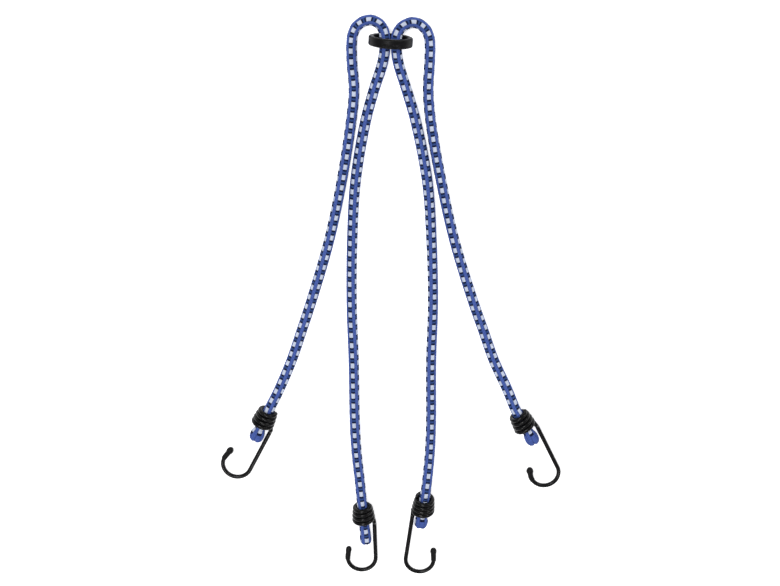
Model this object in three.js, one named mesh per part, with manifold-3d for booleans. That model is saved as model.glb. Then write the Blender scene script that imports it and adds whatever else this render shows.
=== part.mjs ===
// A four-hook spider bungee strap, lying on the surface z = 0, in millimetres.
// Two elastic cords pass side by side through one ring that stands on its rim.
// Each cord end is drawn through the conical coil of a wire hook and swells into a knob behind it.
// +Y runs from the hooks towards the ring, +X to the right, +Z up.

import * as THREE from "three";
import ManifoldModule from "manifold-3d";

const wasm = await ManifoldModule();
wasm.setup();
const { Manifold, Mesh: ManifoldMesh } = wasm;

const TURN = 2 * Math.PI;
const radians = THREE.MathUtils.degToRad;
const lerp = THREE.MathUtils.lerp;

// Driving dimensions.
const CORD = { radius: 4.0, sides: 10, steps: 80 };
const WIRE = { radius: 1.4, sides: 8, step: 2.3 };
const COIL = {
  turns: 4,
  mouthRadius: 6.0, // centreline, where the cord goes in
  footRadius: 7.75, // centreline, where the wire leaves for the shank
  belly: 0.25, // how far the cone's middle swells
  endAngle: radians(92), // from straight up, towards the shank
  pointsPerTurn: 16,
};
const CORNER = 4.3; // how far the wire takes to turn from the coil into the shank
const BEND = { radius: 11.3, sweep: radians(196), points: 14 };
const TIP = { length: 10.5, radius: 2.0, ballRadius: 2.3, gap: 0.6, sides: 10 };
const KNOB = { start: 2.6, neck: 4.0 };
const RING = { outer: 16, inner: 12.6, height: 7, edge: 1.2, sides: 40, x: -0.26, y: 214.7, turn: -3.9 };

// Each hook: the middle of its coil's foot with the coil's heading, tilt and pitch, the place where
// the shank meets the bend with the heading, tilt and roll of both, and what the bending bench gave
// it. A hook with roll 180 lies on its other side, with the shank on the left. Angles are in degrees.
const HOOKS = {
  outer_left: {
    coil: { at: [-101.6, -88.4, 8.7], heading: -23.8, tilt: 13.8, pitch: 3.7 },
    bend: { at: [-112.52, -129.03, 2.59], heading: -26.8, tilt: 6.1, roll: 0 },
    shank: 37.4,
    point: 6.6,
  },
  inner_left: {
    coil: { at: [-21.6, -170.1, 8.52], heading: 4.1, tilt: 17.0, pitch: 3.9 },
    bend: { at: [-12.3, -204.75, 2.76], heading: 1.6, tilt: 7.0, roll: 0 },
    shank: 31.1,
    point: 6.1,
  },
  inner_right: {
    coil: { at: [25.5, -161.6, 8.54], heading: -6.6, tilt: 17.2, pitch: 3.45 },
    bend: { at: [12.05, -205.34, 3.09], heading: -7.4, tilt: 8.6, roll: 180 },
    shank: 41.2,
    point: 8.0,
  },
  outer_right: {
    coil: { at: [106.4, -91.1, 8.68], heading: 27.6, tilt: 14.0, pitch: 3.8 },
    bend: { at: [132.71, -126.51, 2.55], heading: 25.7, tilt: 5.8, roll: 0 },
    shank: 39.5,
    point: 5.0,
  },
};

// The knob behind each coil: three are short and round, one is a longer, straighter stub.
const KNOBS = {
  outer_left: { belly: 5.3, length: 14.5, tilt: 12 },
  inner_left: { belly: 4.6, length: 20.0, tilt: 11 },
  inner_right: { belly: 5.3, length: 14.5, tilt: 13 },
  outer_right: { belly: 5.3, length: 14.5, tilt: 12 },
};

// Cord centrelines, from the outer hook over the arch, through the ring and down to the inner hook.
const CORD_ROUTES = {
  cord_left: [
    [-102.31, -90.0, 8.27], [-101.6, -88.4, 8.7], [-95.8, -75.25, 12.23], [-93.2, -69.8, 13.1],
    [-87.4, -58.3, 12.3], [-77.3, -35.0, 8.0], [-69.2, -11.5, 5.2], [-61.3, 12.5, 4.25],
    [-47.3, 60.4, 4.1], [-37.2, 107.3, 4.1], [-29.8, 153.2, 4.1], [-27.6, 175.9, 4.1],
    [-29.1, 198.3, 4.1], [-28.9, 213.5, 4.1], [-27.0, 220.5, 4.3], [-23.2, 225.2, 4.9],
    [-16.2, 228.1, 6.4], [-9.5, 226.2, 8.2], [-5.6, 221.2, 9.3],
    [-4.45, 215.2, 9.5], [-4.45, 208.0, 9.2], [-6.1, 197.2, 7.4], [-13.2, 174.4, 4.9],
    [-19.2, 151.7, 4.2], [-26.9, 105.7, 4.1], [-29.7, 58.8, 4.1], [-30.4, 10.9, 4.1],
    [-29.1, -38.0, 4.1], [-28.5, -87.6, 5.2], [-27.2, -111.6, 8.3], [-24.6, -135.0, 13.2],
    [-23.5, -147.3, 14.4], [-22.67, -155.22, 13.08], [-21.6, -170.1, 8.52], [-21.48, -171.82, 7.99],
  ],
  cord_right: [
    [107.21, -92.65, 8.24], [106.4, -91.1, 8.68], [99.57, -78.03, 12.36], [96.9, -72.9, 13.2],
    [91.0, -58.3, 12.2], [80.1, -35.1, 7.9], [71.7, -11.6, 5.1], [63.2, 12.5, 4.25],
    [48.5, 60.4, 4.1], [37.9, 107.3, 4.1], [29.7, 153.2, 4.1], [27.8, 175.9, 4.1],
    [28.8, 198.3, 4.1], [28.8, 211.6, 4.1], [27.4, 217.8, 4.3], [23.6, 223.2, 4.9],
    [16.9, 226.3, 6.4], [9.9, 224.6, 8.2], [5.6, 220.4, 9.4],
    [3.95, 215.2, 9.6], [3.95, 208.0, 9.2], [5.3, 197.2, 7.4], [12.2, 174.4, 4.9],
    [18.7, 151.7, 4.2], [27.6, 105.7, 4.1], [31.1, 58.8, 4.1], [32.5, 10.9, 4.1],
    [31.4, -38.0, 4.1], [31.6, -87.2, 5.5], [30.8, -111.0, 9.0], [28.9, -131.5, 13.4],
    [27.8, -141.6, 14.1], [27.02, -148.5, 12.62], [25.5, -161.6, 8.54], [25.3, -163.3, 8.01],
  ],
};

const BLACK = { color: 0x16161a, metalness: 0.0 };
const MATERIALS = {
  cord: new THREE.MeshStandardMaterial({ color: 0x24379c, roughness: 0.85, metalness: 0.0 }),
  wire: new THREE.MeshStandardMaterial({ ...BLACK, roughness: 0.35 }),
  dip: new THREE.MeshStandardMaterial({ ...BLACK, roughness: 0.6 }),
  ring: new THREE.MeshStandardMaterial({ ...BLACK, roughness: 0.45 }),
};

function circleShape(radius, sides) {
  const corners = [];
  for (let i = 0; i < sides; i += 1) {
    const angle = (TURN * i) / sides;
    corners.push(new THREE.Vector2(radius * Math.cos(angle), radius * Math.sin(angle)));
  }
  return new THREE.Shape(corners);
}

function tube(curve, radius, sides, steps) {
  return new THREE.ExtrudeGeometry(circleShape(radius, sides), { extrudePath: curve, steps, curveSegments: 1 });
}

// A smooth curve through points, with its length measured finely.
function smoothCurve(points) {
  const curve = new THREE.CatmullRomCurve3(points, false, "centripetal");
  curve.arcLengthDivisions = 2000;
  return curve;
}

function named(name, geometry, material) {
  const mesh = new THREE.Mesh(geometry, material);
  mesh.name = name;
  return mesh;
}

// One cord, from knob to knob, as a plain tube along its route.
function cord(name) {
  const route = smoothCurve(CORD_ROUTES[name].map((point) => new THREE.Vector3(...point)));
  return named(name, tube(route, CORD.radius, CORD.sides, CORD.steps), MATERIALS.cord);
}

// The frame at a place: +y up a coil or a shank towards the cord, +x to its right, +z up.
function frameAt({ at, heading, tilt, roll = 0 }) {
  const turn = new THREE.Euler(radians(tilt), radians(roll), radians(heading), "ZXY");
  return new THREE.Matrix4().makeRotationFromEuler(turn).setPosition(...at);
}

// The conical coil, from its mouth to its foot, where the wire leaves it.
function coilPoints({ coil, bend }) {
  const frame = frameAt(coil);
  const start = COIL.endAngle + radians(bend.roll);
  const steps = COIL.turns * COIL.pointsPerTurn;
  const points = [];
  for (let i = 0; i <= steps; i += 1) {
    const share = i / steps;
    const angle = start + TURN * COIL.turns * (1 - share);
    const radius = lerp(COIL.mouthRadius, COIL.footRadius, share) + COIL.belly * Math.sin(Math.PI * share);
    const along = coil.pitch * COIL.turns * (1 - share);
    points.push(new THREE.Vector3(radius * Math.sin(angle), along, radius * Math.cos(angle)).applyMatrix4(frame));
  }
  return points;
}

// One wire's centreline: the coil, the corner, the straight shank, the bend, and the point that
// leans back towards the shank.
function hookCurve(spec) {
  const points = coilPoints(spec);
  const coilEnd = points[points.length - 1];
  const leaving = coilEnd.clone().sub(points[points.length - 2]).normalize();
  const frame = frameAt(spec.bend);
  const bendTop = new THREE.Vector3().applyMatrix4(frame);
  const shankTop = new THREE.Vector3(0, spec.shank, 0).applyMatrix4(frame);
  const back = shankTop.clone().sub(bendTop).normalize();
  const corner = new THREE.CubicBezierCurve3(
    coilEnd,
    coilEnd.clone().addScaledVector(leaving, CORNER * 0.75),
    shankTop.clone().addScaledVector(back, CORNER * 0.55),
    shankTop,
  );
  points.push(...corner.getPoints(5).slice(1));
  for (const share of [0.25, 0.5, 0.75, 1]) {
    points.push(new THREE.Vector3().lerpVectors(shankTop, bendTop, share));
  }

  const bendPoint = (angle, further) =>
    new THREE.Vector3(
      -BEND.radius * (1 - Math.cos(angle)) - further * Math.sin(angle),
      -BEND.radius * Math.sin(angle) - further * Math.cos(angle),
      0,
    ).applyMatrix4(frame);
  for (let i = 1; i <= BEND.points; i += 1) {
    points.push(bendPoint((BEND.sweep * i) / BEND.points, 0));
  }
  points.push(bendPoint(BEND.sweep, spec.point / 2), bendPoint(BEND.sweep, spec.point));
  return smoothCurve(points);
}

// The stretch of a curve between two distances along it.
function stretch(curve, from, to, count) {
  const total = curve.getLength();
  const points = [];
  for (let i = 0; i <= count; i += 1) {
    points.push(curve.getPointAt(lerp(from, to, i / count) / total));
  }
  return smoothCurve(points);
}

function toManifold(geometry) {
  const merged = new Map();
  const vertices = [];
  const triangles = [];
  const position = geometry.getAttribute("position");
  const count = geometry.index ? geometry.index.count : position.count;
  for (let i = 0; i < count; i += 1) {
    const corner = geometry.index ? geometry.index.getX(i) : i;
    const place = [position.getX(corner), position.getY(corner), position.getZ(corner)];
    const key = place.map((value) => value.toFixed(5)).join(",");
    if (!merged.has(key)) {
      merged.set(key, vertices.length / 3);
      vertices.push(...place);
    }
    triangles.push(merged.get(key));
  }
  const kept = [];
  for (let i = 0; i < triangles.length; i += 3) {
    const [a, b, c] = triangles.slice(i, i + 3);
    if (a !== b && b !== c && c !== a) kept.push(a, b, c);
  }
  return new Manifold(
    new ManifoldMesh({
      numProp: 3,
      vertProperties: new Float32Array(vertices),
      triVerts: new Uint32Array(kept),
    }),
  );
}

function fromManifold(solid) {
  const mesh = solid.getMesh();
  const geometry = new THREE.BufferGeometry();
  geometry.setAttribute("position", new THREE.BufferAttribute(new Float32Array(mesh.vertProperties), 3));
  geometry.setIndex(new THREE.BufferAttribute(new Uint32Array(mesh.triVerts), 1));
  return geometry;
}

// The dipped tip: a sleeve of coating along the wire's last stretch, with a ball at its end.
function dippedTip(curve) {
  const total = curve.getLength();
  const path = stretch(curve, total - TIP.length, total, 8);
  const sleeve = toManifold(tube(path, TIP.radius, TIP.sides, 6));
  const ball = new THREE.SphereGeometry(TIP.ballRadius, TIP.sides, 8);
  const end = path.getPoint(1);
  ball.translate(end.x, end.y, end.z);
  return fromManifold(sleeve.add(toManifold(ball)));
}

// The knob of cord behind the coil, turned about its own axis.
function knob(name) {
  const { belly, length, tilt } = KNOBS[name];
  const profile = [
    [0, 0], [KNOB.neck, 0], [lerp(KNOB.neck, belly, 0.35), -0.14], [lerp(KNOB.neck, belly, 0.9), -0.34],
    [belly, -0.54], [belly * 0.93, -0.74], [belly * 0.7, -0.9], [belly * 0.36, -0.98], [0, -1],
  ].map(([radius, share]) => new THREE.Vector2(radius, share * length - KNOB.start));
  profile.reverse();
  const mesh = named(`cord_end_${name}`, new THREE.LatheGeometry(profile, 16), MATERIALS.cord);
  mesh.applyMatrix4(frameAt({ ...HOOKS[name].coil, tilt }));
  return mesh;
}

function hook(name) {
  const curve = hookCurve(HOOKS[name]);
  const wireLength = curve.getLength() - TIP.length - TIP.gap;
  const steps = Math.round(wireLength / WIRE.step);
  const wirePath = stretch(curve, 0, wireLength, steps);
  const wire = named(`hook_${name}`, tube(wirePath, WIRE.radius, WIRE.sides, steps), MATERIALS.wire);
  const tip = named(`tip_${name}`, dippedTip(curve), MATERIALS.dip);
  return [wire, tip, knob(name)];
}

// The ring stands on its rim, with a flat of its outline on the surface.
function ring() {
  const half = RING.height / 2;
  const profile = [];
  const corners = [
    [RING.outer - RING.edge, half - RING.edge, 0],
    [RING.inner + RING.edge, half - RING.edge, 90],
    [RING.inner + RING.edge, -half + RING.edge, 180],
    [RING.outer - RING.edge, -half + RING.edge, 270],
  ];
  for (const [radius, height, start] of corners) {
    for (const turn of [0, 45, 90]) {
      const angle = radians(start + turn);
      profile.push(new THREE.Vector2(radius + RING.edge * Math.cos(angle), height + RING.edge * Math.sin(angle)));
    }
  }
  profile.push(profile[0].clone());
  const geometry = new THREE.LatheGeometry(profile, RING.sides);
  geometry.rotateY(TURN / RING.sides / 2);
  const mesh = named("ring", geometry, MATERIALS.ring);
  mesh.position.set(RING.x, RING.y, RING.outer * Math.cos(TURN / RING.sides / 2));
  mesh.rotation.set(0, 0, radians(RING.turn));
  return mesh;
}

const strap = new THREE.Group();
strap.add(...Object.keys(CORD_ROUTES).map(cord));
strap.add(ring());
strap.add(...Object.keys(HOOKS).flatMap(hook));

export default strap;
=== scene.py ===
"""Looks for a four-hook spider bungee strap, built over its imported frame.

Two braided elastic cords run side by side through one moulded ring. Each cord end is drawn
through the wire coil of a hook and swells into a knob behind it. Sizes are in millimetres
until a mesh is finished. +Y runs from the hooks towards the ring, and +Z is up.
"""

from __future__ import annotations

import logging
import math
from dataclasses import dataclass, field, replace
from enum import Enum
from typing import Any, Sequence

import bmesh
import bpy
import numpy as np
from mathutils import Euler, Matrix, Vector


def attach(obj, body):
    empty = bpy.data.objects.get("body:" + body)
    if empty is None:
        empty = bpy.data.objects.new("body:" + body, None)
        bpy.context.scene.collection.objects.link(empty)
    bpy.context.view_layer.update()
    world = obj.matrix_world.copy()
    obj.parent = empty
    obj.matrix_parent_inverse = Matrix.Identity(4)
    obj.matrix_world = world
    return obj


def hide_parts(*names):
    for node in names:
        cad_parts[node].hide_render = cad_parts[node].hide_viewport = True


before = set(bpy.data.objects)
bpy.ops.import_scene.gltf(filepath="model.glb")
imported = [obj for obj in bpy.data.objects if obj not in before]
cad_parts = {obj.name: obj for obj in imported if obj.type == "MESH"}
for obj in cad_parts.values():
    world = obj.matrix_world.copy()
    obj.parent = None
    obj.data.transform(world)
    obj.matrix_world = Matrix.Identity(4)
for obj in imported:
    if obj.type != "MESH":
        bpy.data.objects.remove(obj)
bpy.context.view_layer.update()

MM = 0.001
# Corners of a mesh that lie closer than this, in millimetres, are one.
MERGED = 0.002
LOG = logging.getLogger("strap")

Point = tuple[float, float, float]
Colour = tuple[float, float, float, float]


class Hand(Enum):
    """Which way the tracer yarns wind round a cord, seen along it."""

    RIGHT = 1
    LEFT = -1


class Flank(Enum):
    """The side of its coil on which a hook's shank lies, as a roll in degrees."""

    RIGHT = 0
    LEFT = 180


@dataclass
class Route:
    """A smooth curve through points, measured along its length.

    Attributes:
        points: The points that the curve passes through.
        samples: Points worked out in each span between them.
        nudge: How far to either side a direction is measured.
        line: The points of the fine line.
        along: The distance to each of them.
    """

    points: Sequence[Sequence[float]]
    samples: int = 40
    nudge: float = 0.3
    line: np.ndarray = field(init=False)
    along: np.ndarray = field(init=False)

    def __post_init__(self) -> None:
        """Works out the fine line and the distance to each of its points."""
        self.line = self._fine_line()
        steps = np.linalg.norm(np.diff(self.line, axis=0), axis=1)
        self.along = np.concatenate([[0.0], np.cumsum(steps)])

    def _fine_line(self) -> np.ndarray:
        """Runs a centripetal Catmull-Rom curve through the points.

        Returns:
            The points of the fine line.
        """
        given = np.array(self.points, float)
        padded = np.vstack([2 * given[0] - given[1], given, 2 * given[-1] - given[-2]])
        share = np.linspace(0.0, 1.0, self.samples, endpoint=False)[:, None]
        spans = []
        for a, b, c, d in zip(padded, padded[1:], padded[2:], padded[3:]):
            ab, bc, cd = (math.sqrt(np.linalg.norm(q - p)) for p, q in ((a, b), (b, c), (c, d)))
            leaving = ((b - a) / ab - (c - a) / (ab + bc) + (c - b) / bc) * bc
            arriving = ((c - b) / bc - (d - b) / (bc + cd) + (d - c) / cd) * bc
            cubic = 2 * b - 2 * c + leaving + arriving
            square = -3 * b + 3 * c - 2 * leaving - arriving
            spans.append(((cubic * share + square) * share + leaving) * share + b)
        return np.vstack([*spans, given[-1]])

    @property
    def length(self) -> float:
        """The whole length of the curve."""
        return float(self.along[-1])

    def at(self, distance: np.ndarray) -> np.ndarray:
        """Finds the points at some distances along the curve."""
        return np.stack([np.interp(distance, self.along, axis) for axis in self.line.T], axis=-1)

    def heading(self, distance: np.ndarray) -> np.ndarray:
        """Finds the unit directions of the curve at some distances along it.

        Args:
            distance: Distances from the start, in an array of any shape.

        Returns:
            The directions, with one more axis than distance.
        """
        low = np.clip(distance - self.nudge, 0.0, self.length)
        high = np.clip(distance + self.nudge, 0.0, self.length)
        ahead = self.at(high) - self.at(low)
        return ahead / np.linalg.norm(ahead, axis=-1, keepdims=True)

    def level_axes(self, distance: np.ndarray) -> tuple[np.ndarray, np.ndarray]:
        """Finds the axes across the curve that keep one of them as upright as it can be.

        Args:
            distance: Distances from the start, in an array of any shape.

        Returns:
            The upward axis and the axis to the right of the heading, at each distance.
        """
        ahead = self.heading(distance)
        side = np.cross(ahead, np.array([0.0, 0.0, 1.0]))
        side /= np.linalg.norm(side, axis=-1, keepdims=True)
        return np.cross(side, ahead), side

    def rolling_axes(self, distance: np.ndarray) -> tuple[np.ndarray, np.ndarray]:
        """Finds axes across the curve that turn about it as little as they can.

        Args:
            distance: Distances from the start, the same all round each ring.

        Returns:
            The two axes at each distance.
        """
        ahead = self.heading(distance[:, 0])
        first = np.cross(ahead[0], np.eye(3)[int(np.argmin(np.abs(ahead[0])))])
        axes = [first / np.linalg.norm(first)]
        for here in ahead[1:]:
            level = axes[-1] - here * float(np.dot(axes[-1], here))
            axes.append(level / np.linalg.norm(level))
        upward = np.array(axes)
        side = np.cross(ahead, upward)
        shape = (*distance.shape, 3)
        return np.broadcast_to(upward[:, None], shape), np.broadcast_to(side[:, None], shape)


@dataclass
class Outline:
    """The half-outline of a round skin: how its radius changes along its route.

    Attributes:
        corners: (distance along the route, radius) pairs, from one pole to the other.
        over: The distance over the surface to each corner.
    """

    corners: np.ndarray
    over: np.ndarray = field(init=False)

    def __post_init__(self) -> None:
        """Measures the outline over its surface."""
        steps = np.linalg.norm(np.diff(self.corners, axis=0), axis=1)
        self.over = np.concatenate([[0.0], np.cumsum(steps)])

    @property
    def length(self) -> float:
        """The length over the surface, from pole to pole."""
        return float(self.over[-1])

    def at(self, over: np.ndarray) -> tuple[np.ndarray, np.ndarray]:
        """Finds places on the outline.

        Args:
            over: Distances over the surface, from the first pole.

        Returns:
            The distances along the route and the radii.
        """
        place = np.clip(over, 0.0, self.length)
        return (np.interp(place, self.over, self.corners[:, 0]),
                np.interp(place, self.over, self.corners[:, 1]))


def dome(reach: float, radius: float, power: float = 2.4, steps: int = 24) -> np.ndarray:
    """Draws the half-outline of a domed end.

    Args:
        reach: How far the dome reaches along the route.
        radius: Its radius at its foot.
        power: 2 for an ellipse, and more for a blunter dome.
        steps: The number of steps from pole to foot.

    Returns:
        (distance, radius) pairs from the pole to the foot.
    """
    angle = np.linspace(0.0, math.pi / 2, steps + 1)
    along = reach * (1 - np.cos(angle) ** (2 / power))
    return np.stack([along, radius * np.sin(angle) ** (2 / power)], axis=1)


def turned_to(half: np.ndarray, end: float) -> np.ndarray:
    """Turns a half-outline round, so that its pole comes last, at a place on the route."""
    return half[::-1] * np.array([-1.0, 1.0]) + np.array([end, 0.0])


def finished(name: str, bm: bmesh.types.BMesh, finish: Finish) -> bpy.types.Object:
    """Makes a finished piece of a bmesh in millimetres, and lets it ride on the strap.

    Args:
        name: The piece's name.
        bm: Its shape, which is freed.
        finish: What it is finished in.

    Returns:
        The piece, at the origin, in metres.
    """
    bmesh.ops.scale(bm, vec=(MM, MM, MM), verts=bm.verts)
    for face in bm.faces:
        face.smooth = True
    mesh = bpy.data.meshes.new(name)
    bm.to_mesh(mesh)
    bm.free()
    piece = bpy.data.objects.new(name, mesh)
    bpy.context.scene.collection.objects.link(piece)
    mesh.materials.append(finish.material())
    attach(piece, "root")
    LOG.info("%s: %d faces", name, len(mesh.polygons))
    return piece


def wrapped(place: np.ndarray, **charts: np.ndarray) -> bmesh.types.BMesh:
    """Wraps a flat grid into a closed skin.

    Args:
        place: Where each corner of the grid goes, by ring and then by side.
        **charts: The UV of each corner, in layers with these names.

    Returns:
        The skin, with its seam and poles merged.
    """
    rings, sides = place.shape[0] - 1, place.shape[1] - 1
    bm = bmesh.new()
    for name in charts:
        bm.loops.layers.uv.new(name)
    bmesh.ops.create_grid(bm, x_segments=rings, y_segments=sides, size=1.0)
    corners = np.array([vert.co for vert in bm.verts])
    ring = np.rint((corners[:, 0] + 1) / 2 * rings).astype(int)
    side = np.rint((corners[:, 1] + 1) / 2 * sides).astype(int)
    bm.verts.index_update()
    for name, chart in charts.items():
        layer, corner_charts = bm.loops.layers.uv[name], chart[ring, side].tolist()
        for face in bm.faces:
            for loop in face.loops:
                loop[layer].uv = corner_charts[loop.vert.index]
    for vert, there in zip(bm.verts, place[ring, side].tolist()):
        vert.co = there
    bmesh.ops.remove_doubles(bm, verts=bm.verts, dist=MERGED)
    bmesh.ops.recalc_face_normals(bm, faces=bm.faces)
    return bm


def round_skin(route: Route, outline: Outline, sides: int, step: float) -> bmesh.types.BMesh:
    """Sweeps a round, smooth skin along a route.

    Args:
        route: The centreline.
        outline: The radius along it.
        sides: The number of sides.
        step: The distance between rings, over the surface.

    Returns:
        The skin, with U round it in turns and V over it in millimetres.
    """
    over = np.linspace(0.0, outline.length, max(4, round(outline.length / step)) + 1)
    turn = np.linspace(0.0, 1.0, sides + 1)
    distance, radius = outline.at(over)
    distance = np.broadcast_to(distance[:, None], (len(over), len(turn)))
    upward, side = route.rolling_axes(distance)
    angle = turn * 2 * math.pi
    out = upward * np.cos(angle)[None, :, None] + side * np.sin(angle)[None, :, None]
    place = route.at(distance) + out * radius[:, None, None]
    chart = np.stack(np.broadcast_arrays(turn[None, :], over[:, None]), axis=-1)
    return wrapped(place, lay=chart)


class Value:
    """A number on a node's output, on which Python's arithmetic adds Math nodes."""

    def __init__(self, nodes: Nodes, socket: bpy.types.NodeSocket) -> None:
        """Wraps an output socket."""
        self.nodes = nodes
        self.socket = socket

    def _math(self, operation: str, *terms: Any) -> Value:
        """Adds a Math node, whose inputs are Values or numbers."""
        node = self.nodes.add("ShaderNodeMath", {"operation": operation}, dict(enumerate(terms)))
        return Value(self.nodes, node.outputs[0])

    def __add__(self, other: Any) -> Value:
        """Adds."""
        return self._math("ADD", self, other)

    def __sub__(self, other: Any) -> Value:
        """Subtracts."""
        return self._math("SUBTRACT", self, other)

    def __rsub__(self, other: Any) -> Value:
        """Subtracts from a number."""
        return self._math("SUBTRACT", other, self)

    def __mul__(self, other: Any) -> Value:
        """Multiplies."""
        return self._math("MULTIPLY", self, other)

    __radd__, __rmul__ = __add__, __mul__

    def __lt__(self, other: Any) -> Value:
        """Gives 1 where this is less, and 0 elsewhere."""
        return self._math("LESS_THAN", self, other)

    def __gt__(self, other: Any) -> Value:
        """Gives 1 where this is greater, and 0 elsewhere."""
        return self._math("GREATER_THAN", self, other)

    def __abs__(self) -> Value:
        """Drops the sign."""
        return self._math("ABSOLUTE", self)

    def fraction(self) -> Value:
        """Keeps what is left over a whole number."""
        return self._math("FRACT", self)

    def least(self, other: Any) -> Value:
        """Takes the lesser of two."""
        return self._math("MINIMUM", self, other)

    def wave(self) -> Value:
        """Takes the sine of a whole turn for each unit."""
        return self._math("SINE", self * (2 * math.pi))

    def eased(self, low: float, high: float) -> Value:
        """Rises smoothly from 0 to 1.

        Args:
            low: Where it starts to rise.
            high: Where it reaches 1.

        Returns:
            The eased number.
        """
        node = self.nodes.add("ShaderNodeMapRange", {"interpolation_type": "SMOOTHSTEP"},
                              {"Value": self, "From Min": low, "From Max": high})
        return Value(self.nodes, node.outputs["Result"])


class Nodes:
    """The node tree of one material."""

    def __init__(self, name: str) -> None:
        """Starts an empty material.

        Args:
            name: Its name.
        """
        self.material = bpy.data.materials.new(name)
        self.material.use_nodes = True
        self.tree = self.material.node_tree
        self.tree.nodes.clear()

    def add(self, kind: str, settings: dict[str, Any], sockets: dict[Any, Any]) -> bpy.types.Node:
        """Adds a node.

        Args:
            kind: The node's type.
            settings: Its own settings, which are set first.
            sockets: The values or links of its inputs, by name or number.

        Returns:
            The node.
        """
        node = self.tree.nodes.new(kind)
        for name, setting in settings.items():
            setattr(node, name, setting)
        for name, given in sockets.items():
            source = given.socket if isinstance(given, Value) else given
            if isinstance(source, bpy.types.NodeSocket):
                self.tree.links.new(source, node.inputs[name])
            else:
                node.inputs[name].default_value = source
        return node

    def chart(self, layer: str = "lay") -> tuple[Value, Value]:
        """Reads a chart of the piece.

        Args:
            layer: Its name. The lay has turns round the piece, and the distance along it.

        Returns:
            Its two numbers.
        """
        source = self.add("ShaderNodeUVMap", {"uv_map": layer}, {})
        parts = self.add("ShaderNodeSeparateXYZ", {}, {"Vector": source.outputs["UV"]})
        return Value(self, parts.outputs["X"]), Value(self, parts.outputs["Y"])

    def place(self) -> bpy.types.NodeSocket:
        """The place on the object, in metres."""
        return self.add("ShaderNodeTexCoord", {}, {}).outputs["Object"]

    def vector(self, x: Any, y: Any, z: Any = 0.0) -> bpy.types.NodeSocket:
        """Joins three numbers into a vector."""
        return self.add("ShaderNodeCombineXYZ", {}, {"X": x, "Y": y, "Z": z}).outputs["Vector"]

    def noise(self, where: bpy.types.NodeSocket, scale: float, detail: float = 2.0) -> Value:
        """Adds a noise, from 0 to 1 and mostly near a half."""
        node = self.add("ShaderNodeTexNoise", {}, {"Vector": where, "Scale": scale, "Detail": detail})
        return Value(self, node.outputs["Fac"])

    def mixed(self, share: Any, first: Any, second: Any) -> bpy.types.NodeSocket:
        """Mixes two colours or links to them, by the share of the second."""
        node = self.add("ShaderNodeMix", {"data_type": "RGBA"}, {0: share, 6: first, 7: second})
        return node.outputs[2]

    def scaled(self, colour: Any, factor: Value) -> bpy.types.NodeSocket:
        """Makes a colour lighter or darker by a varying factor."""
        node = self.add("ShaderNodeVectorMath", {"operation": "SCALE"}, {0: colour, "Scale": factor})
        return node.outputs["Vector"]

    def bumped(self, height: Value, depth: float) -> bpy.types.NodeSocket:
        """Turns a height into a normal, where a height of 1 is so many metres deep."""
        node = self.add("ShaderNodeBump", {}, {"Height": height, "Distance": depth})
        return node.outputs["Normal"]

    def surface(self, **sockets: Any) -> bpy.types.Material:
        """Ends the tree in a Principled surface.

        Args:
            **sockets: Its inputs, with _ for each space in their names.

        Returns:
            The material.
        """
        named = {name.replace("_", " "): given for name, given in sockets.items()}
        shader = self.add("ShaderNodeBsdfPrincipled", {}, named)
        self.add("ShaderNodeOutputMaterial", {}, {"Surface": shader.outputs["BSDF"]})
        return self.material


@dataclass(frozen=True)
class Finish:
    """What a piece is finished in."""

    name: str

    def material(self) -> bpy.types.Material:
        """Finds the finish's material, or makes it the first time."""
        return bpy.data.materials.get(self.name) or self.build(Nodes(self.name))

    def build(self, nodes: Nodes) -> bpy.types.Material:
        """Builds the material in an empty node tree."""
        raise NotImplementedError


@dataclass(frozen=True)
class Braid:
    """How the sheath is braided, from eight flat bands of yarn.

    Four bands wind one way and lie on top in the tracer columns, and four wind the other way
    and lie on top in the plain columns between them. A repeat is the length of one winding.
    In a tracer column the bands end square across the cord.

    Attributes:
        repeat: The mean length along the cord after which the braid repeats.
        column: The half-width of a tracer column, in degrees.
        white: The share of a repeat that the white band takes.
        black: The share that each of the two black bands takes.
        blue: The share that the blue band between them takes.
        slant: How steeply the plain bands lie.
    """

    repeat: float = 8.1
    column: float = 23.5
    white: float = 0.48
    black: float = 0.165
    blue: float = 0.19
    slant: float = 1.2

    @property
    def edges(self) -> tuple[float, ...]:
        """Where the tracer bands meet, as shares of a repeat."""
        first = self.white + self.black
        return 0.0, self.white, first, first + self.blue, 1.0


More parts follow.
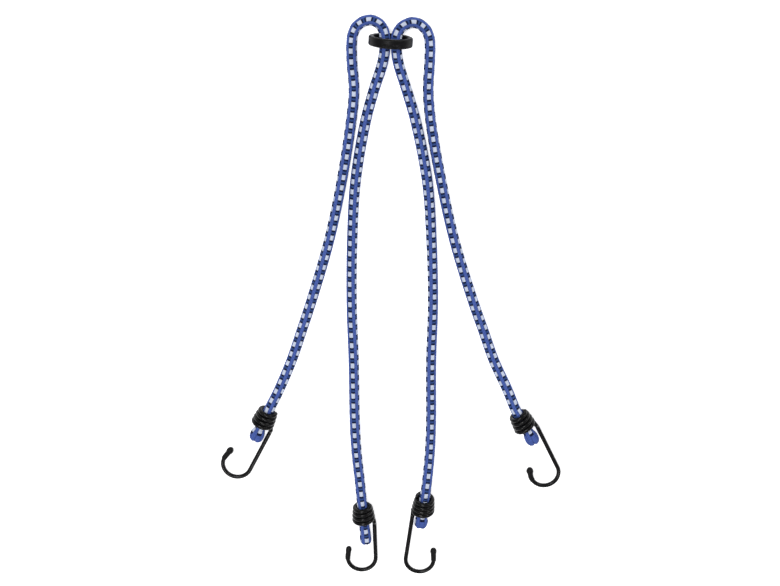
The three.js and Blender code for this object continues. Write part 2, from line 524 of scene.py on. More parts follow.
@dataclass(frozen=True)
class SheathFinish(Finish):
    """Braided polyester yarn: royal blue with a white, black and dark blue tracer.

    Attributes:
        hand: The way the tracer yarns wind.
        braid: How the bands lie.
        royal: The blue of the plain bands.
        tracer_blue: The blue between the tracer's two black bands.
        white: The tracer's white.
        black: The tracer's black.
        tuck_shadow: How much of a repeat, before the tracer is tucked under, is painted black as the
            tuck's shadow.
        wander: How far a tracer band's end strays, in repeats.
        furrow: How wide the painted shade of the furrow beside a band is, in repeats.
        furrow_shade: How much darker that furrow is painted, as shade.
        yarns: The yarns in a repeat, each of three strands.
        depth: How deep the yarns stand, in metres.
    """

    hand: Hand
    braid: Braid = Braid()
    royal: Colour = (0.062, 0.105, 0.350, 1)
    tracer_blue: Colour = (0.028, 0.062, 0.200, 1)
    white: Colour = (0.50, 0.55, 0.68, 1)
    black: Colour = (0.006, 0.010, 0.040, 1)
    tuck_shadow: float = 0.12
    wander: float = 0.02
    furrow: float = 0.028
    furrow_shade: float = 0.45
    yarns: int = 30
    depth: float = 0.00022

    def build(self, nodes: Nodes) -> bpy.types.Material:
        """Builds the braid's colours and its yarns from the chart of turns and repeats.

        Args:
            nodes: An empty node tree.

        Returns:
            The material.
        """
        braid, hand = self.braid, self.hand.value
        turn, along = nodes.chart()
        spare, _ = nodes.chart("tuck")
        half = braid.column / 90
        uneven = nodes.noise(nodes.vector(turn * 9, along * 3), 3.0)

        quarters = turn * 4 + 0.5
        part = quarters.fraction()
        across = part - 0.5
        in_tracer = abs(across) < half
        column = quarters - part
        tracer = (along - column * (hand / 4) + (uneven - 0.5) * self.wander).fraction()
        plain_across = (turn * 4).fraction() - 0.5
        plain = along + plain_across * (hand * 0.25 * braid.slant)

        edges = braid.edges
        white = tracer < edges[1]
        blue = (tracer > edges[2]) * (tracer < edges[3])
        colour = nodes.mixed(blue, self.black, self.tracer_blue)
        colour = nodes.mixed(white, colour, self.white)
        # Painted shadow: the tracer's last stretch before it is tucked under at a knob is painted
        # black, as the shade of the tuck.
        colour = nodes.mixed(spare < self.tuck_shadow, colour, self.black)
        colour = nodes.mixed(spare < 0, colour, self.royal)
        colour = nodes.mixed(in_tracer, self.royal, colour)

        near = abs(tracer - edges[0])
        for edge in edges[1:]:
            near = near.least(abs(tracer - edge))
        plain_near = abs((plain * 4 + 0.5).fraction() - 0.5) * 0.25
        near = near * in_tracer + plain_near * (1 - in_tracer)
        column_near = abs(abs(across) - half) * 0.5
        seam = near.least(column_near).eased(0.0, self.furrow)

        band = tracer * in_tracer + plain * (1 - in_tracer)
        yarn = (band * self.yarns).wave() * 0.5 + 0.5
        lie = 2 * in_tracer - 1
        fibres = nodes.noise(nodes.vector(band * (3 * self.yarns), turn * 10 * lie), 1.0, 3.0)
        patch = nodes.noise(nodes.vector(turn * 6, along * 1.6), 1.3, 2.0)
        # Painted shade: the yarn wave lightens each yarn's crown and darkens the grooves between
        # yarns. The fibre and patch noises vary the tone at random.
        worn = 0.66 + fibres * 0.28 + yarn * 0.08 + patch * 0.28
        # Painted shade: the colour darkens in the furrows where bands meet and along the columns'
        # edges.
        shade = (1 - self.furrow_shade + seam * self.furrow_shade) * worn
        height = seam * 0.5 + yarn * 0.3 + fibres * 0.2
        return nodes.surface(
            Base_Color=nodes.scaled(colour, shade),
            Roughness=0.72 - fibres * 0.18,
            Specular_IOR_Level=0.06,
            Normal=nodes.bumped(height, self.depth),
        )


@dataclass(frozen=True)
class CoatedWireFinish(Finish):
    """Black coating over drawn steel wire: glossy, with faint drag marks and runs."""

    colour: Colour = (0.0035, 0.0035, 0.0038, 1)
    worn: Colour = (0.018, 0.018, 0.019, 1)

    def build(self, nodes: Nodes) -> bpy.types.Material:
        """Builds the coating from the place on the hook and the lay along its wire.

        Args:
            nodes: An empty node tree.

        Returns:
            The material.
        """
        turn, along = nodes.chart()
        where = nodes.place()
        patch = nodes.noise(where, 180.0, 3.0)
        fine = nodes.noise(where, 1500.0, 2.0)
        drag = nodes.noise(nodes.vector(turn * 14, along * 0.12), 2.0, 2.0)
        rubbed = patch.eased(0.50, 0.72) * drag.eased(0.40, 0.70)
        return nodes.surface(
            Base_Color=nodes.mixed(rubbed * 0.7, self.colour, self.worn),
            Roughness=0.13 + drag * 0.10 + fine * 0.05,
            Specular_IOR_Level=0.14,
            Normal=nodes.bumped(drag * 0.6 + fine * 0.4, 0.00006),
        )


@dataclass(frozen=True)
class DippedTipFinish(Finish):
    """Soft black vinyl, dipped and cured: satin, with slow dimples."""

    colour: Colour = (0.0045, 0.0045, 0.0048, 1)
    dimpled: Colour = (0.009, 0.009, 0.010, 1)

    def build(self, nodes: Nodes) -> bpy.types.Material:
        """Builds the vinyl from the place on the tip.

        Args:
            nodes: An empty node tree.

        Returns:
            The material.
        """
        where = nodes.place()
        slow = nodes.noise(where, 500.0, 2.0)
        fine = nodes.noise(where, 3500.0, 2.0)
        return nodes.surface(
            Base_Color=nodes.mixed(slow * 0.5, self.colour, self.dimpled),
            Roughness=0.36 + slow * 0.16 + fine * 0.06,
            Specular_IOR_Level=0.10,
            Normal=nodes.bumped(slow * 0.7 + fine * 0.3, 0.00008),
        )


@dataclass(frozen=True)
class MouldedRingFinish(Finish):
    """Black moulded nylon: satin, finely pitted, with scuffs in scattered patches."""

    colour: Colour = (0.0045, 0.0045, 0.0048, 1)
    scuffed: Colour = (0.022, 0.022, 0.024, 1)

    def build(self, nodes: Nodes) -> bpy.types.Material:
        """Builds the nylon from the place on the ring.

        Args:
            nodes: An empty node tree.

        Returns:
            The material.
        """
        where = nodes.place()
        pits = nodes.noise(where, 2600.0, 2.0)
        patch = nodes.noise(where, 110.0, 4.0)
        scratches = nodes.noise(where, 420.0, 5.0)
        scuffs = patch.eased(0.48, 0.70) * scratches.eased(0.52, 0.62)
        return nodes.surface(
            Base_Color=nodes.mixed(scuffs * 0.6, self.colour, self.scuffed),
            Roughness=0.26 + patch * 0.16 + pits * 0.06,
            Specular_IOR_Level=0.07,
            Normal=nodes.bumped(pits * 0.5 + scratches * 0.5, 0.00005),
        )


@dataclass(frozen=True)
class BackdropFinish(Finish):
    """Plain matt white paper on a light table."""

    glow: float
    colour: Colour = (0.93, 0.93, 0.93, 1)

    def build(self, nodes: Nodes) -> bpy.types.Material:
        """Builds the paper.

        Args:
            nodes: An empty node tree.

        Returns:
            The material.
        """
        grain = nodes.noise(nodes.place(), 900.0)
        return nodes.surface(Base_Color=self.colour, Roughness=0.86 + grain * 0.1,
                             Specular_IOR_Level=0.1, Emission_Color=self.colour,
                             Emission_Strength=self.glow)


@dataclass(frozen=True)
class Pose:
    """How a coil, a shank or a knob lies: its place, and its turns in degrees.

    Attributes:
        place: The middle of a coil's foot, or the place where a shank meets its bend.
        heading: Its turn about the vertical.
        tilt: How far its end away from the ring dips.
        flank: The side of the coil on which the shank lies.
    """

    place: Point
    heading: float
    tilt: float
    flank: Flank = Flank.RIGHT

    def moved(self, points: np.ndarray) -> np.ndarray:
        """Moves points from the piece's own axes to the strap's.

        Args:
            points: The points, with +y towards the cord, +x to the right and +z up.

        Returns:
            The same points where they lie on the strap.
        """
        turns = np.array(Matrix.Rotation(math.radians(self.heading), 3, "Z")
                         @ Matrix.Rotation(math.radians(self.tilt), 3, "X")
                         @ Matrix.Rotation(math.radians(self.flank.value), 3, "Y"))
        return points @ turns.T + np.array(self.place)


@dataclass
class Knob:
    """The swollen end of a cord behind a hook's coil.

    Attributes:
        pose: How it lies, from the middle of the coil's foot.
        belly: Its greatest radius.
        length: How far it reaches behind the coil.
        dome: How much of that length the rounded end takes.
        notch: How deep the fold across its end is.
        fold: How wide that fold is.
        start: How far behind the coil's foot it starts.
        tucked: How far over its end, from the pole, the tracer yarns are tucked under. At 0
            they run on to the pole.
    """

    pose: Pose
    belly: float = 5.3
    length: float = 14.5
    dome: float = 0.46
    notch: float = 1.3
    fold: float = 1.2
    start: float = 2.6
    tucked: float = 9.2

    @property
    def reach(self) -> float:
        """How far its rounded end reaches along its axis."""
        return self.length * self.dome

    def axis_points(self) -> list[Point]:
        """Lists route points on its axis.

        Returns:
            The points, from its end towards the coil.
        """
        shares = (self.start + self.length, self.start + self.length * 0.5)
        points = np.array([[0.0, -share, 0.0] for share in shares])
        return [tuple(point) for point in self.pose.moved(points)]

    def outline(self, neck: float) -> np.ndarray:
        """Draws its half-outline, from its pole to its neck.

        Args:
            neck: The cord's own radius.

        Returns:
            (distance from the pole, radius) pairs.
        """
        rise = np.linspace(0.0, 1.0, 13)[1:]
        eased = rise * rise * (3 - 2 * rise)
        slope = np.stack([self.reach + (self.length - self.reach) * rise,
                          self.belly + (neck - self.belly) * eased], axis=1)
        return np.vstack([dome(self.reach, self.belly), slope])


@dataclass
class Cord:
    """One elastic cord, from knob to knob: a braided sheath over its rubber core.

    Attributes:
        name: Its CAD node.
        hand: The way its tracer winds.
        route: Its centreline between the knobs, from the outer hook to the inner one.
        knobs: Its outer and inner knobs.
        ends: The CAD nodes of those knobs.
        twist: (distance, degrees) pairs: where a tracer column lies round the cord, from
            straight up towards the right of its heading.
        lay: (distance, repeat) pairs: how long a repeat of the braid is up to each distance
            over the surface, as the sheath is stretched or squeezed.
        length: Its real length. It is not used.
        shift: Where in its repeat the braid starts.
        radius: Its mean radius.
        relief: How deep the braid's furrows are.
        mean: The share of the relief that lies under the mean radius.
        sides: Faces across each column of the braid.
        steps: Rings in each repeat.
        braid: How the sheath's bands lie.
    """

    name: str
    hand: Hand
    route: Sequence[Point]
    knobs: tuple[Knob, Knob]
    ends: tuple[str, str]
    twist: Sequence[tuple[float, float]]
    lay: Sequence[tuple[float, float]]
    length: float
    shift: float
    radius: float = 4.0
    relief: float = 0.40
    mean: float = 0.6
    sides: int = 5
    steps: int = 24
    braid: Braid = Braid()

    def centreline(self) -> Route:
        """Runs the route on through both knobs."""
        first, last = self.knobs
        return Route([*first.axis_points(), *self.route, *reversed(last.axis_points())])

    def outline(self, route: Route) -> Outline:
        """Draws the half-outline of the whole cord, from pole to pole."""
        first, last = (knob.outline(self.radius) for knob in self.knobs)
        return Outline(np.vstack([first, turned_to(last, route.length)]))

    def columns(self) -> np.ndarray:
        """Lists the angles of the sides, with each column's edges among them.

        Returns:
            The angles in degrees, with the first once more at the end.
        """
        edge, angles = self.braid.column, []
        for quarter in (0, 90, 180, 270):
            for low, high in ((-edge, edge), (edge, 90 - edge)):
                angles += [*np.linspace(quarter + low, quarter + high, self.sides, endpoint=False)]
        return np.array([*angles, 360 - edge])

    def build(self) -> bpy.types.Object:
        """Returns:
            The sheath, which stands for the cord's CAD nodes.
        """
        route = self.centreline()
        outline = self.outline(route)
        count = int(outline.length / self.braid.repeat * self.steps)
        degrees = self.columns()
        column = np.rint(degrees / 90) / 4 * self.hand.value
        over = np.linspace(0.0, outline.length, count + 1)
        over = np.broadcast_to(over[:, None], (count + 1, len(degrees)))
        repeats = self._repeats(over)

        distance, radius = outline.at(over)
        soft = np.clip(radius / self.radius, 0.0, 1.0)
        height = self._heights(degrees, column, repeats) - self.mean
        radius = radius + soft * self.relief * height
        along, angles = zip(*self.twist)
        turned = np.radians(degrees[None, :] + np.interp(distance, along, angles))
        upward, side = route.level_axes(distance)
        out = upward * np.cos(turned)[..., None] + side * np.sin(turned)[..., None]
        place = route.at(distance) + out * radius[..., None]
        place += self._notches(route, distance, out * radius[..., None], side)
        chart = np.stack(np.broadcast_arrays(degrees[None, :] / 360, repeats), axis=-1)
        spare = self._spare(repeats - column, column, outline.length)
        tuck = np.stack([spare, np.zeros_like(spare)], axis=-1)

        finish = SheathFinish(f"braided_sheath_{self.hand.name.lower()}", self.hand)
        skin = wrapped(place, lay=chart, tuck=tuck)
        sheath = finished(f"sheath_{self.name}", skin, finish)
        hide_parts(self.name, *self.ends)
        path = route.at(np.linspace(0.0, route.length, 400)) * MM
        tuple(route.at(np.array(20.0)) * MM)
        LOG.info("%s: %.1f mm along its middle, %.1f mm over it", self.name, route.length,
                 outline.length)
        return sheath

    def _heights(self, degrees: np.ndarray, column: np.ndarray,
                 repeats: np.ndarray) -> np.ndarray:
        """Shapes the relief of the braid's bands.

        Args:
            degrees: The angle of each side.
            column: How far each side's tracer is shifted, in repeats.
            repeats: The braid's repeats, by ring and then by side.

        Returns:
            1 on the crown of a band, and less towards its edges.
        """
        braid = self.braid
        quarter = (degrees + 45) / 90 % 1 - 0.5
        plain_quarter = degrees / 90 % 1 - 0.5
        half = braid.column / 90
        in_tracer = np.abs(quarter) < half + 1e-6
        plain = repeats + plain_quarter * self.hand.value * 0.25 * braid.slant
        crown = np.where(in_tracer, self._crown((repeats - column) % 1, braid.edges),
                         self._crown(plain % 0.25, (0.0, 0.25)))
        arch = np.where(in_tracer, np.cos(quarter / half * math.pi / 2),
                        np.cos(plain_quarter / (0.5 - half) * math.pi / 2))
        return np.clip(arch, 0, 1) ** 0.5 * (0.35 + 0.65 * crown)

    def _repeats(self, over: np.ndarray) -> np.ndarray:
        """Counts the braid's repeats.

        Args:
            over: Distances over the surface, from the first pole.

        Returns:
            The repeats up to each of them.
        """
        places, lengths = (np.array(column) for column in zip(*self.lay))
        starts = np.concatenate([[0.0], places])
        counts = np.concatenate([[0.0], np.cumsum(np.diff(starts) / lengths)])
        return self.shift + np.interp(over, starts, counts)

    def _spare(self, tracer: np.ndarray, column: np.ndarray, length: float) -> np.ndarray:
        """Measures how far the tracer still runs before it is tucked under at a knob.

        Args:
            tracer: Repeats of the tracer, by ring and then by side.
            column: How far each side's tracer is shifted, in repeats.
            length: The length over the surface, from pole to pole.

        Returns:
            The repeats that are left, which are below 0 where the tracer is tucked under.
        """
        first, last = self.knobs
        middle = self.braid.edges[2] + self.braid.blue / 2
        spare = np.ones_like(tracer)
        for knob, place, way in ((first, first.tucked, 1), (last, length - last.tucked, -1)):
            if knob.tucked:
                tucks = self._repeats(np.array(place)) - column - middle
                spare = np.minimum(spare, (tracer - np.rint(tucks) - middle) * way)
        return spare

    @staticmethod
    def _crown(share: np.ndarray, edges: Sequence[float]) -> np.ndarray:
        """Rounds each flat band across its width.

        Args:
            share: Places across the bands.
            edges: Where the bands meet.

        Returns:
            1 along the middle of a band and 0 at its edges.
        """
        crown = np.zeros_like(share)
        for low, high in zip(edges, edges[1:]):
            inside = (share >= low) & (share <= high)
            across = (share - low) / (high - low) * 2 - 1
            crown = np.where(inside, np.sqrt(np.clip(1 - across**4, 0, 1)), crown)
        return crown

    def _notches(self, route: Route, distance: np.ndarray, out: np.ndarray,
                 side: np.ndarray) -> np.ndarray:
        """Folds each knob's end inwards along an upright line, which leaves two lobes.

        Args:
            route: The centreline.
            distance: The distance of each point along it.
            out: Each point's offset from it.
            side: The level axis across it at each point.

        Returns:
            How far each point moves.
        """
        lateral = (out * side).sum(axis=-1)
        depth = np.zeros_like(lateral)
        first, last = self.knobs
        for knob, back, way in ((first, distance, 1), (last, route.length - distance, -1)):
            near = np.clip(1 - back / knob.reach, 0.0, 1.0)
            depth += way * knob.notch * np.exp(-((lateral / knob.fold) ** 2)) * near
        return route.heading(distance) * depth[..., None]


@dataclass
class Hook:
    """One wire hook: a conical coil, a shank and a bend, with a dipped tip on its point.

    Attributes:
        name: Its place on the strap.
        coil: How its coil lies, from the middle of its foot.
        pitch: The distance between the coil's turns.
        bend: How its shank and bend lie, from the place where they meet.
        shank: The straight length of the shank.
        point: The straight length after the bend.
        head: The radius of the dipped tip's round head.
        sweep: How far the bend turns, in degrees.
        wire: The wire's radius, over its coating.
        turns: The coil's turns.
        mouth: The coil's radius where the cord goes in.
        foot: The coil's radius where the wire leaves it.
        belly: How far the middle of its cone swells.
        leaves: Where the wire leaves the coil, in degrees from straight up.
        corner: The length of the corner between coil and shank.
        lead: How far the corner first runs on with the coil, as a share of its length.
        follow: How far it ends along the shank, as a share of its length.
        curl: The bend's radius.
        dip: The length of the dipped tip.
        skin: The thickness of its sleeve.
        lap: How far the wire reaches inside it.
    """

    name: str
    coil: Pose
    pitch: float
    bend: Pose
    shank: float
    point: float
    head: float
    sweep: float = 196.0
    wire: float = 1.7
    turns: float = 4.0
    mouth: float = 6.0
    foot: float = 7.75
    belly: float = 0.25
    leaves: float = 92.0
    corner: float = 4.3
    lead: float = 0.75
    follow: float = 0.55
    curl: float = 11.3
    dip: float = 10.5
    skin: float = 0.5
    lap: float = 2.5

    def _coil(self) -> np.ndarray:
        """Winds the conical coil.

        Returns:
            Its points, from its mouth to where the wire leaves it.
        """
        share = np.linspace(0.0, 1.0, round(self.turns * 32) + 1)
        start = self.leaves + self.bend.flank.value
        angle = math.radians(start) + 2 * math.pi * self.turns * (1 - share)
        radius = (self.mouth + (self.foot - self.mouth) * share
                  + self.belly * np.sin(math.pi * share))
        return self.coil.moved(np.stack([radius * np.sin(angle),
                                         self.pitch * self.turns * (1 - share),
                                         radius * np.cos(angle)], axis=1))

    def route(self, beyond: float = 0.0) -> Route:
        """Bends the wire's centreline.

        Args:
            beyond: How far it runs straight on past the point.

        Returns:
            The centreline, from the coil's mouth to the point.
        """
        coil = self._coil()
        leaving = coil[-1] - coil[-2]
        leaving /= np.linalg.norm(leaving)
        top, end = self.bend.moved(np.array([[0.0, self.shank, 0.0], [0.0, 0.0, 0.0]]))
        back = (top - end) / self.shank
        pulls = (coil[-1], coil[-1] + leaving * self.corner * self.lead,
                 top + back * self.corner * self.follow, top)
        share = np.linspace(0.0, 1.0, 9)[1:, None]
        corner = sum(math.comb(3, power) * share**power * (1 - share) ** (3 - power) * pull
                     for power, pull in enumerate(pulls))
        shank = top + (end - top) * np.linspace(0.0, 1.0, 6)[1:, None]
        angle = np.radians(np.linspace(0.0, self.sweep, 29)[1:])
        level = np.zeros_like(angle)
        bend = np.stack([-self.curl * (1 - np.cos(angle)), -self.curl * np.sin(angle), level],
                        axis=1)
        away = np.array([-math.sin(angle[-1]), -math.cos(angle[-1]), 0.0])
        further = [[self.point / 2], [self.point]] + ([[self.point + beyond]] if beyond else [])
        point = bend[-1] + away * np.array(further)
        return Route(np.vstack([coil, corner, shank, self.bend.moved(np.vstack([bend, point]))]),
                     samples=10)

    def _dressed(self, name: str, bm: bmesh.types.BMesh, finish: Finish, slot: str) -> None:
        """Finishes a piece of the hook in place of its CAD node."""
        piece = finished(f"{name}_{self.name}_dressed", bm, finish)
        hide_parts(f"{name}_{self.name}")

    def build(self) -> None:
        """Builds the wire and its dipped tip."""
        route = self.route()
        under = route.length - self.dip + self.lap
        cut = dome(reach=0.5, radius=self.wire, power=3.0, steps=6)
        ends = Outline(np.vstack([cut, turned_to(cut, under)]))
        wire = round_skin(route, ends, sides=20, step=0.45)
        self._dressed("hook", wire, CoatedWireFinish("coated_wire"), "wire")
        sleeve = self._dip_outline(route.length)
        tip = round_skin(self.route(beyond=4.0), sleeve, sides=24, step=0.22)
        self._dressed("tip", tip, DippedTipFinish("dipped_vinyl"), "dip")

    def _dip_outline(self, end: float) -> Outline:
        """Draws the half-outline of the dipped tip: a thin lip, a sleeve and a round head.

        Args:
            end: Where the wire's point is, along its route.

        Returns:
            The outline, from the lip's inner edge to the pole of the head.
        """
        start, neck, reach = end - self.dip, self.wire + self.skin, self.head + 0.6
        pole = end + 2.1
        widest, rise = pole - reach, self.head - neck
        lip = [(start + along, self.wire + thick)
               for along, thick in ((0.0, 0.02), (0.3, 0.20), (0.8, 0.34), (1.8, 0.42))]
        flare = [(widest - back, neck + share * rise)
                 for back, share in ((3.0, 0.0), (2.0, 0.2), (1.0, 0.8))]
        head = turned_to(dome(reach, self.head, power=2.0, steps=14), pole)
        return Outline(np.vstack([(start, 0.0), *lip, *flare, head]))


@dataclass
class SlideRing:
    """The moulded ring that both cords pass through, standing on its rim.

    Attributes:
        centre: Its middle.
        turn: Its turn about the vertical, in degrees.
        lean: How far its top leans towards the hooks, in degrees.
        outer: Its outer radius.
        inner: The radius of its hole.
        height: Its thickness, along the cords.
        edge: The radius of its rounded edges.
        parting: How far the mould's parting line stands proud.
        line: Half the width of that line.
    """

    centre: Point = (-0.26, 213.9, 16.5)
    turn: float = -3.9
    lean: float = 1.5
    outer: float = 16.4
    inner: float = 12.6
    height: float = 7.0
    edge: float = 1.2
    parting: float = 0.03
    line: float = 0.16

    def build(self) -> None:
        """Spins the ring's section and lays it in place of its CAD node."""
        bm = bmesh.new()
        half, mid = self.height / 2, (self.outer + self.inner) / 2
        section = [(self.outer, -half), (self.outer, -self.line),
                   (self.outer + self.parting, 0.0), (self.outer, self.line), (self.outer, half),
                   (mid, half), (self.inner, half), (self.inner, 0.0), (self.inner, -half),
                   (mid, -half)]
        verts = [bm.verts.new((radius, height, 0.0)) for radius, height in section]
        edges = [bm.edges.new(pair) for pair in zip(verts, verts[1:] + verts[:1])]
        bmesh.ops.spin(bm, geom=verts + edges, cent=(0, 0, 0), axis=(0, 1, 0), dvec=(0, 0, 0),
                       angle=2 * math.pi, steps=160, use_merge=True, use_duplicate=False)
        bmesh.ops.remove_doubles(bm, verts=bm.verts, dist=MERGED)
        rims = [edge for edge in bm.edges if self._is_rim(edge)]
        bmesh.ops.bevel(bm, geom=rims, offset=self.edge, offset_type="OFFSET", affect="EDGES",
                        segments=5, profile=0.5, material=-1)
        bmesh.ops.recalc_face_normals(bm, faces=bm.faces)
        place = (Matrix.Translation(self.centre)
                 @ Matrix.Rotation(math.radians(self.turn), 4, "Z")
                 @ Matrix.Rotation(math.radians(self.lean), 4, "X"))
        bmesh.ops.transform(bm, matrix=place, verts=bm.verts)
        ring = finished("slide_ring", bm, MouldedRingFinish("moulded_nylon"))
        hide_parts("ring")

    def _is_rim(self, edge: bmesh.types.BMEdge) -> bool:
        """Tells whether an edge runs round one of the four corners of the section.

        Args:
            edge: An edge of the ring before it is bevelled.

        Returns:
            Whether it does.
        """
        radii = [math.hypot(vert.co.x, vert.co.z) for vert in edge.verts]
        on_face = all(abs(abs(vert.co.y) - self.height / 2) < MERGED for vert in edge.verts)
        at_corner = min(abs(radii[0] - self.outer), abs(radii[0] - self.inner)) < MERGED
        return on_face and at_corner and abs(radii[0] - radii[1]) < MERGED


@dataclass
class Studio:
    """The camera, the lights and the plain white paper under the strap.

    Attributes:
        target: The point that the camera looks at.
        tilt: How far it leans from straight above, in degrees.
        distance: How far it stands from the target.
        lens: Its focal length, on a 36 mm sensor.
        light: The strength of the light from all round.
        glow: How brightly the light table under the paper shines through it.
    """

    target: Point = (-0.7, 17.0, 0.0)
    tilt: float = 16.0
    distance: float = 1300.0
    lens: float = 77.4
    light: float = 0.45
    glow: float = 0.65

    def camera(self) -> None:
        """Makes the camera and makes it the scene's."""
        lean = math.radians(self.tilt)
        data = bpy.data.cameras.new("camera")
        data.lens, data.sensor_width, data.clip_start, data.clip_end = self.lens, 36.0, 0.01, 20.0
        camera = bpy.data.objects.new("camera", data)
        away = Vector((0.0, math.sin(lean), math.cos(lean))) * self.distance
        camera.location = (Vector(self.target) + away) * MM
        camera.rotation_euler = Euler((-lean, 0.0, 0.0))
        bpy.context.scene.collection.objects.link(camera)
        bpy.context.scene.camera = camera

    def lights(self) -> None:
        """Sets soft light all round, and large soft boxes above."""
        scene = bpy.context.scene
        scene.view_settings.view_transform = "Standard"
        world = bpy.data.worlds.new("studio")
        world.use_nodes = True
        sky = world.node_tree.nodes["Background"]
        sky.inputs["Color"].default_value = (1, 1, 1, 1)
        sky.inputs["Strength"].default_value = self.light
        scene.world = world
        # Each has its place and its side in metres, and its power in watts.
        for name, place, size, power in (
            ("soft_box_top", (-0.5, 0.5, 1.8), 0.7, 22.0),
            ("soft_box_side", (1.3, 0.9, 1.2), 0.6, 10.0),
            ("soft_box_front", (-0.3, -1.0, 1.5), 0.4, 8.0),
        ):
            data = bpy.data.lights.new(name, "AREA")
            data.size, data.energy = size, power
            light = bpy.data.objects.new(name, data)
            light.location = place
            light.rotation_euler = (-Vector(place)).to_track_quat("-Z", "Y").to_euler()
            scene.collection.objects.link(light)

    def floor(self) -> None:
        """Lays the paper."""
        bm = bmesh.new()
        bmesh.ops.create_grid(bm, x_segments=4, y_segments=4, size=4.0)
        mesh = bpy.data.meshes.new("paper")
        bm.to_mesh(mesh)
        bm.free()
        paper = bpy.data.objects.new("paper", mesh)
        bpy.context.scene.collection.objects.link(paper)
        mesh.materials.append(BackdropFinish("white_paper", self.glow).material())


# Each knob lies behind the foot of its hook's coil, and both have the same place and heading.
OUTER_LEFT = Pose((-101.6, -88.4, 8.7), heading=-23.8, tilt=12.0)
INNER_LEFT = Pose((-21.6, -170.1, 8.52), heading=4.1, tilt=11.0)
INNER_RIGHT = Pose((25.5, -161.6, 8.54), heading=-6.6, tilt=13.0)
OUTER_RIGHT = Pose((106.4, -91.1, 8.68), heading=27.6, tilt=12.0)

CORD_LEFT = Cord(
    name="cord_left",
    hand=Hand.RIGHT,
    route=[
        (-102.31, -90.0, 8.27), (-101.6, -88.4, 8.7), (-95.8, -75.25, 12.23), (-93.2, -69.8, 13.1),
        (-87.4, -58.3, 12.3), (-77.3, -35.0, 8.0), (-69.2, -11.5, 5.2), (-61.3, 12.5, 4.25),
        (-47.3, 60.4, 4.1), (-37.2, 107.3, 4.1), (-29.8, 153.2, 4.1), (-27.6, 175.9, 4.1),
        (-29.1, 198.3, 4.1), (-28.9, 213.5, 4.1), (-27.0, 220.5, 4.3), (-23.2, 225.2, 4.9),
        (-16.2, 228.1, 6.4), (-9.5, 226.2, 8.2), (-5.6, 221.2, 9.3),
        (-4.45, 215.2, 9.5), (-4.45, 208.0, 9.2), (-6.1, 197.2, 7.4), (-13.2, 174.4, 4.9),
        (-19.2, 151.7, 4.2), (-26.9, 105.7, 4.1), (-29.7, 58.8, 4.1), (-30.4, 10.9, 4.1),
        (-29.1, -38.0, 4.1), (-28.5, -87.6, 5.2), (-27.2, -111.6, 8.3), (-24.6, -135.0, 13.2),
        (-23.5, -147.3, 14.4), (-22.67, -155.22, 13.08), (-21.6, -170.1, 8.52),
        (-21.48, -171.82, 7.99),
    ],
    knobs=(Knob(OUTER_LEFT, belly=5.7, length=13.8),
           Knob(INNER_LEFT, belly=4.6, length=20.0, dome=0.22, notch=0.5, tucked=0.0)),
    ends=("cord_end_outer_left", "cord_end_inner_left"),
    twist=[(0, 105), (17, 105), (33, 56), (80, 49), (140, 37), (180, 27), (280, 2), (310, -4),
           (350, -16), (385, -35), (430, -38), (500, -58), (560, -66), (670, -80), (715, -86),
           (740, -97), (761, -105)],
    lay=[(20, 8.1), (38, 10.6), (338, 8.0), (378, 7.25), (405, 8.1), (432, 8.6), (470, 8.3),
         (500, 7.8), (584, 8.1), (664, 8.3), (704, 8.2), (749, 7.75), (764, 11.0), (800, 8.1)],
    length=0.78,
    shift=-0.02,
)

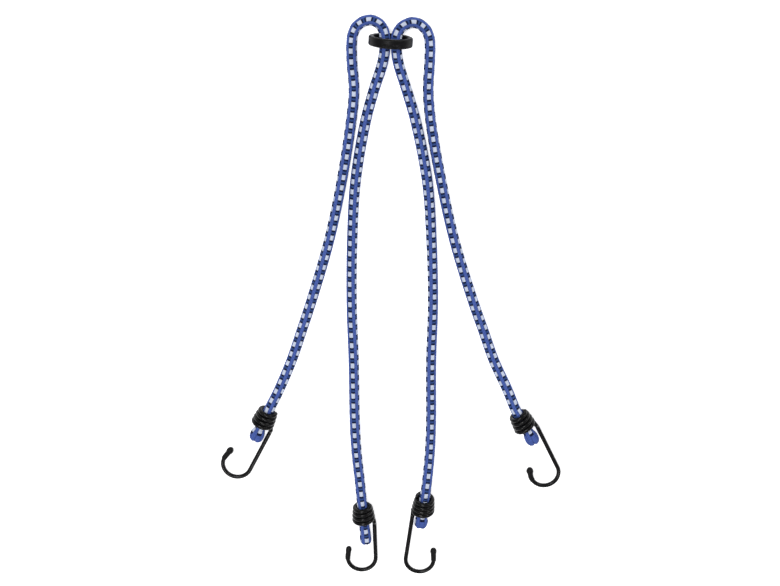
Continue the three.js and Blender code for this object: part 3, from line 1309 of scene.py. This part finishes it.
CORD_RIGHT = Cord(
    name="cord_right",
    hand=Hand.LEFT,
    route=[
        (107.21, -92.65, 8.24), (106.4, -91.1, 8.68), (99.57, -78.03, 12.36), (96.9, -72.9, 13.2),
        (91.0, -58.3, 12.2), (80.1, -35.1, 7.9), (71.7, -11.6, 5.1), (63.2, 12.5, 4.25),
        (48.5, 60.4, 4.1), (37.9, 107.3, 4.1), (29.7, 153.2, 4.1), (27.8, 175.9, 4.1),
        (28.8, 198.3, 4.1), (28.8, 211.6, 4.1), (27.4, 217.8, 4.3), (23.6, 223.2, 4.9),
        (16.9, 226.3, 6.4), (9.9, 224.6, 8.2), (5.6, 220.4, 9.4),
        (3.95, 215.2, 9.6), (3.95, 208.0, 9.2), (5.3, 197.2, 7.4), (12.2, 174.4, 4.9),
        (18.7, 151.7, 4.2), (27.6, 105.7, 4.1), (31.1, 58.8, 4.1), (32.5, 10.9, 4.1),
        (31.4, -38.0, 4.1), (31.6, -87.2, 5.5), (30.8, -111.0, 9.0), (28.9, -131.5, 13.4),
        (27.8, -141.6, 14.1), (27.02, -148.5, 12.62), (25.5, -161.6, 8.54), (25.3, -163.3, 8.01),
    ],
    knobs=(Knob(OUTER_RIGHT, belly=5.5, tucked=12.0), Knob(INNER_RIGHT)),
    ends=("cord_end_outer_right", "cord_end_inner_right"),
    twist=[(0, -64), (17, -64), (33, -44), (55, -51), (80, -45), (180, -23), (280, 4),
           (350, 14), (385, 25), (410, 24), (500, 50), (560, 68), (670, 76), (775, 85)],
    lay=[(20, 8.1), (40, 10.6), (340, 8.0), (380, 7.3), (400, 8.2), (437, 8.8), (505, 8.1),
         (530, 7.7), (700, 8.2), (743, 7.8), (758, 6.9), (790, 8.1)],
    length=0.77,
    shift=-0.22,
)

HOOKS = (
    Hook("outer_left", coil=replace(OUTER_LEFT, tilt=13.8), pitch=3.7,
         bend=Pose((-112.52, -129.03, 2.89), -26.8, 6.1),
         shank=37.4, point=7.4, head=2.75, sweep=191.0),
    Hook("inner_left", coil=replace(INNER_LEFT, tilt=17.0), pitch=3.9,
         bend=Pose((-12.3, -204.75, 3.06), 1.6, 7.0),
         shank=31.1, point=7.5, head=2.4, sweep=188.0),
    Hook("inner_right", coil=replace(INNER_RIGHT, tilt=17.2), pitch=3.45,
         bend=Pose((12.05, -205.34, 3.39), -7.4, 8.6, Flank.LEFT),
         shank=41.2, point=9.1, head=2.6, sweep=189.0),
    Hook("outer_right", coil=replace(OUTER_RIGHT, tilt=14.0), pitch=3.8,
         bend=Pose((132.71, -126.51, 2.85), 25.7, 5.8),
         shank=39.5, point=5.0, head=2.85),
)


def main() -> None:
    """Builds the camera and cords first, then the hooks, the ring and the studio."""
    logging.basicConfig(level=logging.INFO, format="%(name)s: %(message)s")
    studio = Studio()
    studio.camera()
    for cord in (CORD_LEFT, CORD_RIGHT):
        cord.build()
    for hook in HOOKS:
        hook.build()
    SlideRing().build()
    studio.lights()
    studio.floor()


if __name__ == "__main__":
    main()
